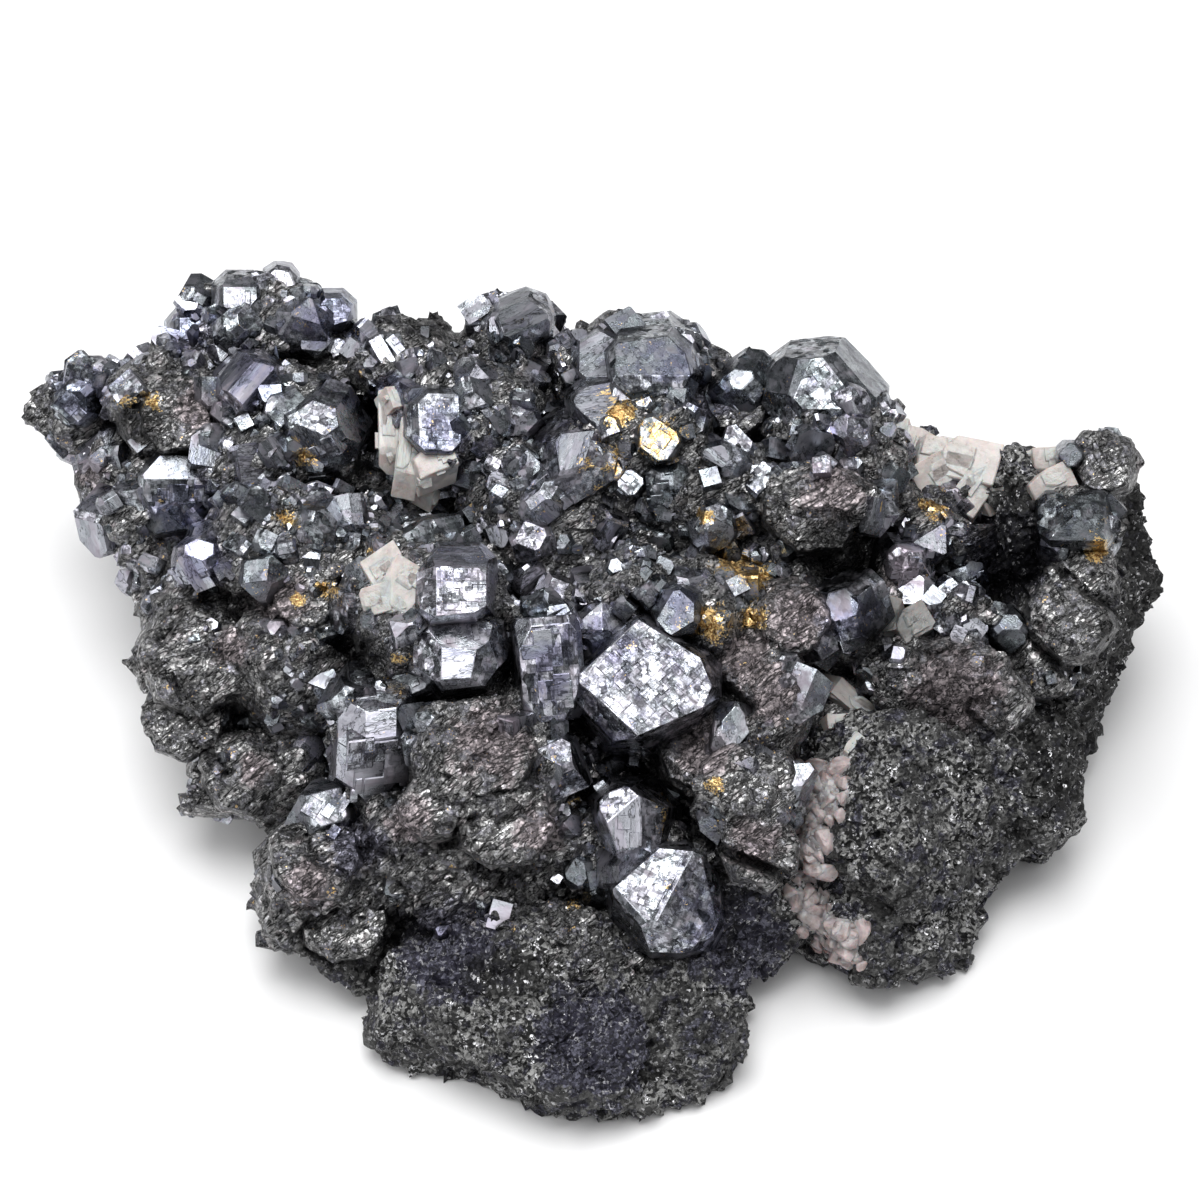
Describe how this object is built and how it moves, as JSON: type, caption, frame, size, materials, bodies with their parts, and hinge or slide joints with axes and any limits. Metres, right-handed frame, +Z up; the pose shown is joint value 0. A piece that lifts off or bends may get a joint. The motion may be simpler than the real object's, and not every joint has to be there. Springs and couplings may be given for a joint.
{
  "type": "mineral specimen",
  "caption": "Skutterudite specimen: metallic grey crystals grown into rough ore lumps on dark granular rock, with pale calcite in pockets and a vein. It lies on a flat underside.",
  "frame": {"origin": "on the flat underside, under the middle of the specimen's bounding box", "axes": "+X along the specimen's longest extent, to the right of the picture; +Y away from its viewer; +Z up"},
  "size_m": [0.1452, 0.1032, 0.0504],
  "materials": {
    "skutterudite": "satin",
    "matrix_rock": "matte",
    "calcite": "satin"
  },
  "bodies": {
    "root": {"skutterudite_crystals": "skutterudite", "matrix_rock": "matrix_rock", "calcite_upper_pocket": "calcite", "calcite_middle_pocket": "calcite", "calcite_ridge": "calcite", "calcite_corner_block": "calcite", "calcite_corner_top": "calcite", "calcite_grey_pocket": "calcite", "calcite_prism": "calcite", "calcite_vein": "calcite"}
  },
  "joints": []
}
